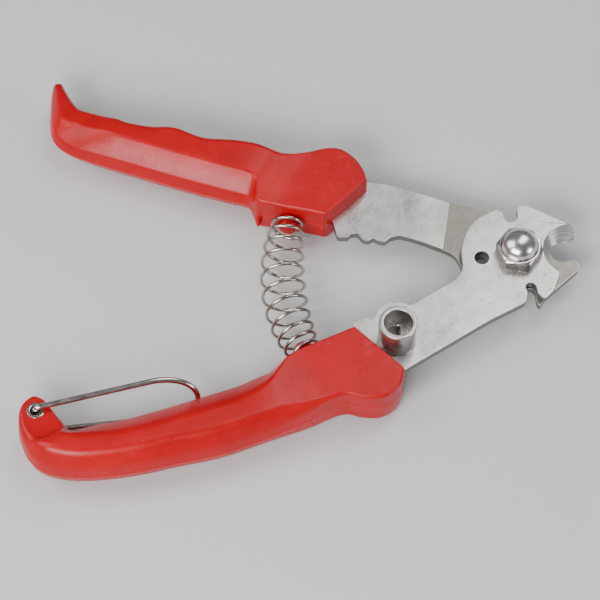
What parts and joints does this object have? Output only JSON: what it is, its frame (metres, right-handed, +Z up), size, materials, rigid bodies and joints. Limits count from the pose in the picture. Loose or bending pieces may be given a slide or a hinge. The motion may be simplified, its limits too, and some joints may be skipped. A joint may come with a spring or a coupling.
{
  "type": "bicycle cable and housing cutter",
  "caption": "Spring-loaded hand cutter for control cable and housing, with bypass blades on one bolt, moulded grips, a liner needle in a tube, a barrel spring and a wire lock bail.",
  "frame": {"origin": "middle of the footprint on the surface that the tool lies on, jaws sprung open", "axes": "+X towards the jaws along the middle line between the handles, +Y towards the rear grip, +Z up, on the side with the dome nut"},
  "size_m": [0.1892, 0.1554, 0.0245],
  "materials": {
    "plated_steel": "bright zinc plating with fine pits and bright stamped edges, bare ground steel on the rubbing faces",
    "dome_nut": "mirror chrome",
    "bolt_steel": "zinc plated bolt and washer",
    "turned_steel": "turned and plated, with a satin rim",
    "needle_steel": "polished",
    "red_plastic": "satin moulded plastic with fine scuffs and a parting line",
    "wire_steel": "bright drawn wire"
  },
  "bodies": {
    "rear_half": {"rear_blade": "plated_steel", "pivot_bolt": "bolt_steel", "pivot_washer": "bolt_steel", "dome_nut": "dome_nut", "rear_grip": "red_plastic", "return_spring": "wire_steel"},
    "front_half": {"front_blade": "plated_steel", "front_grip": "red_plastic", "needle_tube": "turned_steel", "liner_needle": "needle_steel", "bail_eyelet": "wire_steel"},
    "bail": {"lock_bail": "wire_steel"}
  },
  "joints": [
    {"name": "jaw_pivot", "type": "hinge", "parent": "rear_half", "child": "front_half", "pos_m": [0.07432, -0.0005, 0.01], "axis": [0, 0, -1], "range_deg": [0, 27], "stiffness_Nm_per_rad": 4, "deforming": ["return_spring"]},
    {"name": "bail_swing", "type": "hinge", "parent": "front_half", "child": "bail", "pos_m": [-0.08908, -0.0537, 0.01], "axis": [0, 0, 1], "range_deg": [0, 83]}
  ]
}
